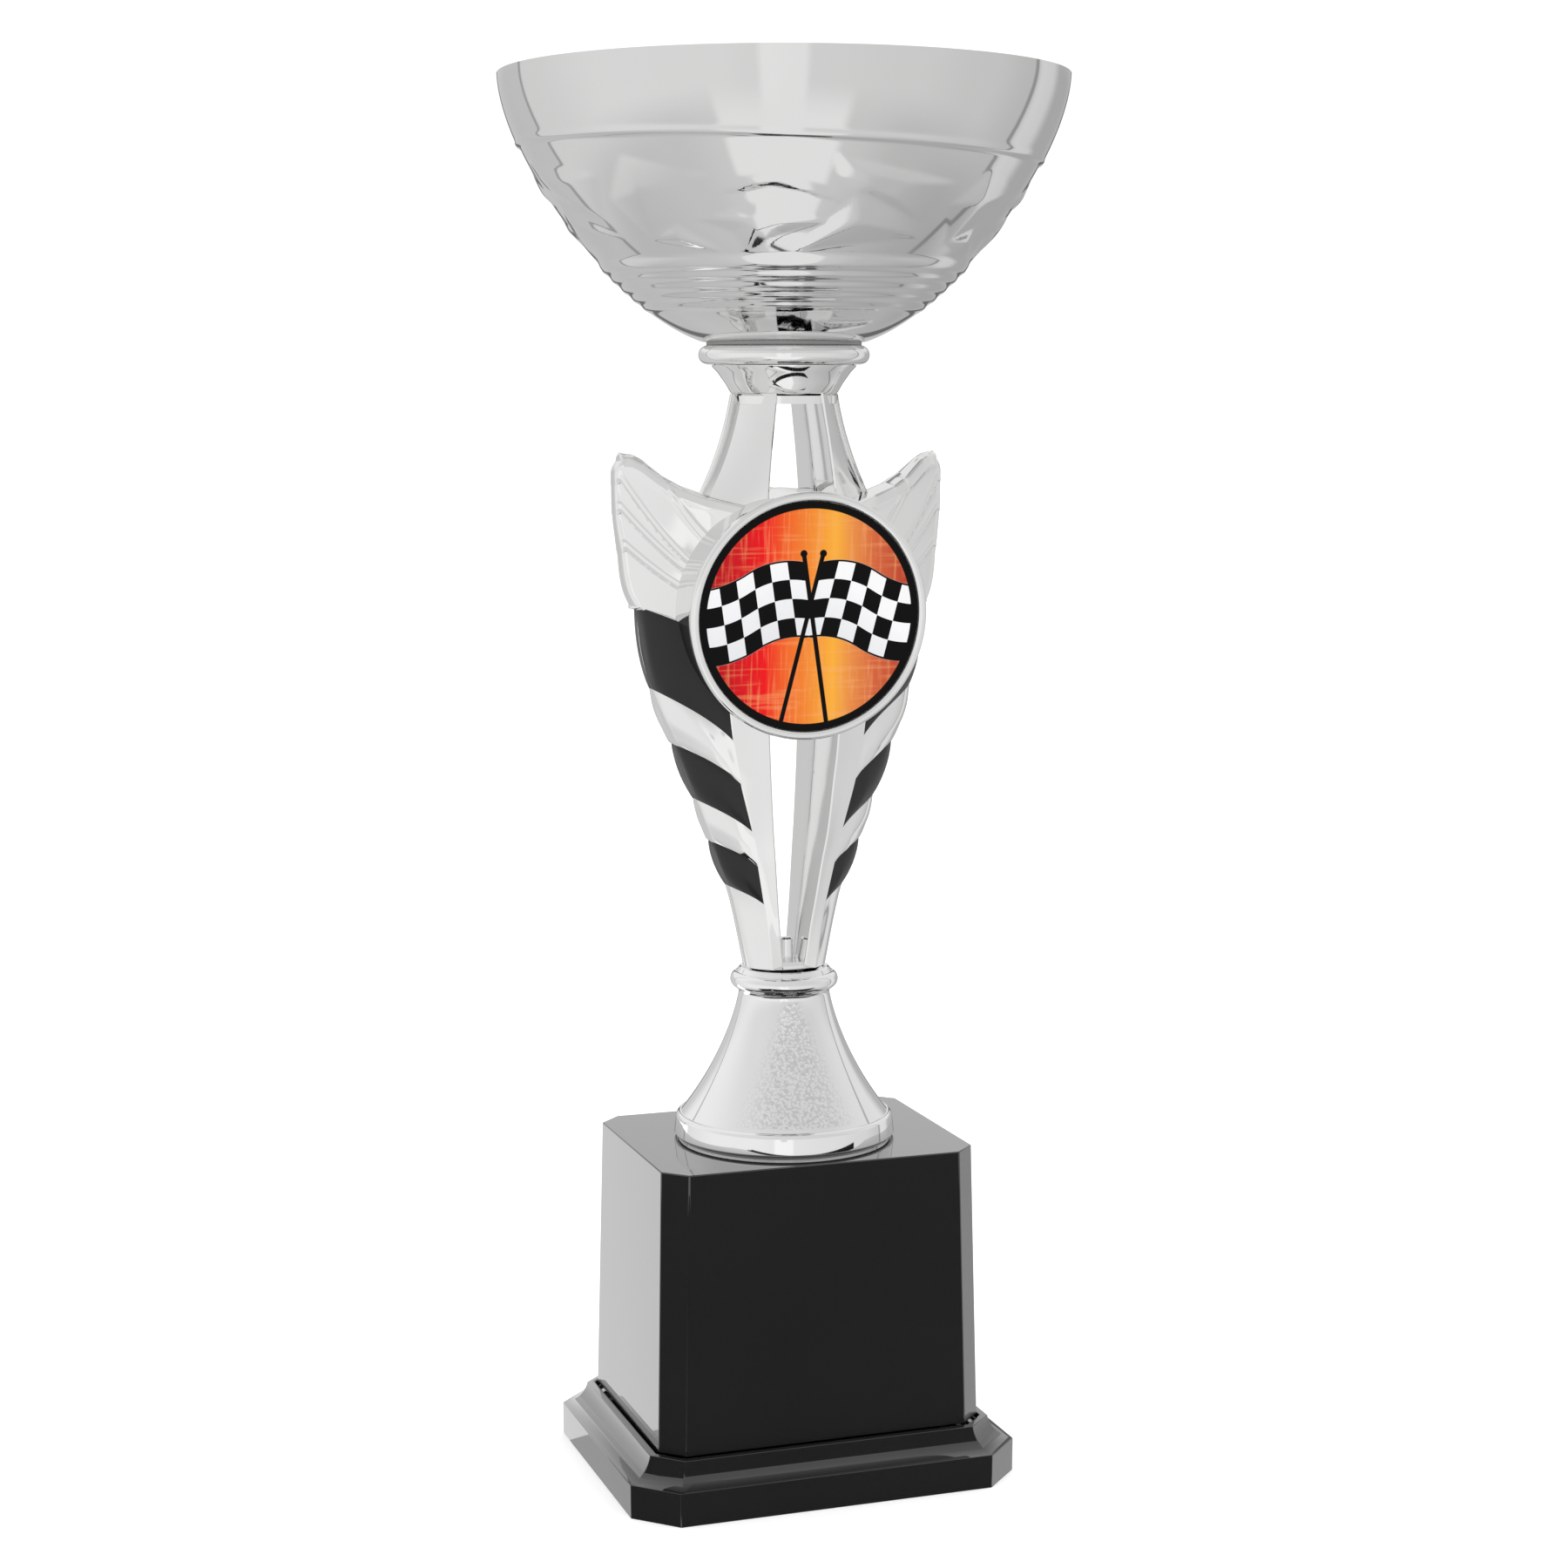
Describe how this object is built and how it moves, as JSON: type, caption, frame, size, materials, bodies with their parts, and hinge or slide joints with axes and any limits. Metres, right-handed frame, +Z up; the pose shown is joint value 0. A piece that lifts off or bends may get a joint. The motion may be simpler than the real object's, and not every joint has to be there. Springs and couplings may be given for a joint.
{
  "type": "cup trophy",
  "caption": "Cup trophy: a thin plated bowl on a winged riser with a printed disc, a flared foot and a gloss black stepped base.",
  "frame": {"origin": "centre of the underside, on the surface that the trophy stands on, under the cup's axis", "axes": "+Z up along the cup's axis; the printed disc faces -Y; +X to the right of a viewer who faces the disc"},
  "size_m": [0.1238, 0.1238, 0.3088],
  "materials": {
    "bowl_metal": "bright plated sheet metal",
    "riser_plating": "bright vacuum-plated plastic, with black painted bands",
    "ring_plating": "bright vacuum-plated plastic",
    "neck_plating": "bright vacuum-plated plastic",
    "foot_plating": "vacuum-plated plastic, fine pebbled cone between polished rings",
    "seat_metal": "turned",
    "zinc_steel": "zinc plated",
    "weight_steel": "mill",
    "disc_backing": "satin",
    "disc_print": "printed in red, orange, black and white under a clear gloss film",
    "black_gloss": "high gloss",
    "felt": "felt"
  },
  "bodies": {
    "root": {"base_pad": "felt", "base_plinth": "black_gloss", "plinth_screws": "zinc_steel", "base_weight": "weight_steel", "base_block": "black_gloss", "tie_bolt": "zinc_steel", "tie_washer": "zinc_steel", "flared_foot": "foot_plating", "foot_nut": "zinc_steel", "riser_front_half": "riser_plating", "riser_back_half": "riser_plating", "bezel_ring": "ring_plating", "insert_disc": "disc_backing", "insert_print": "disc_print", "back_bezel_ring": "ring_plating", "back_disc": "ring_plating", "neck_collar": "neck_plating", "cup_nut": "zinc_steel", "cup_seat": "seat_metal", "cup_bowl": "bowl_metal", "cup_washer": "zinc_steel", "cup_screw": "zinc_steel"}
  },
  "joints": []
}
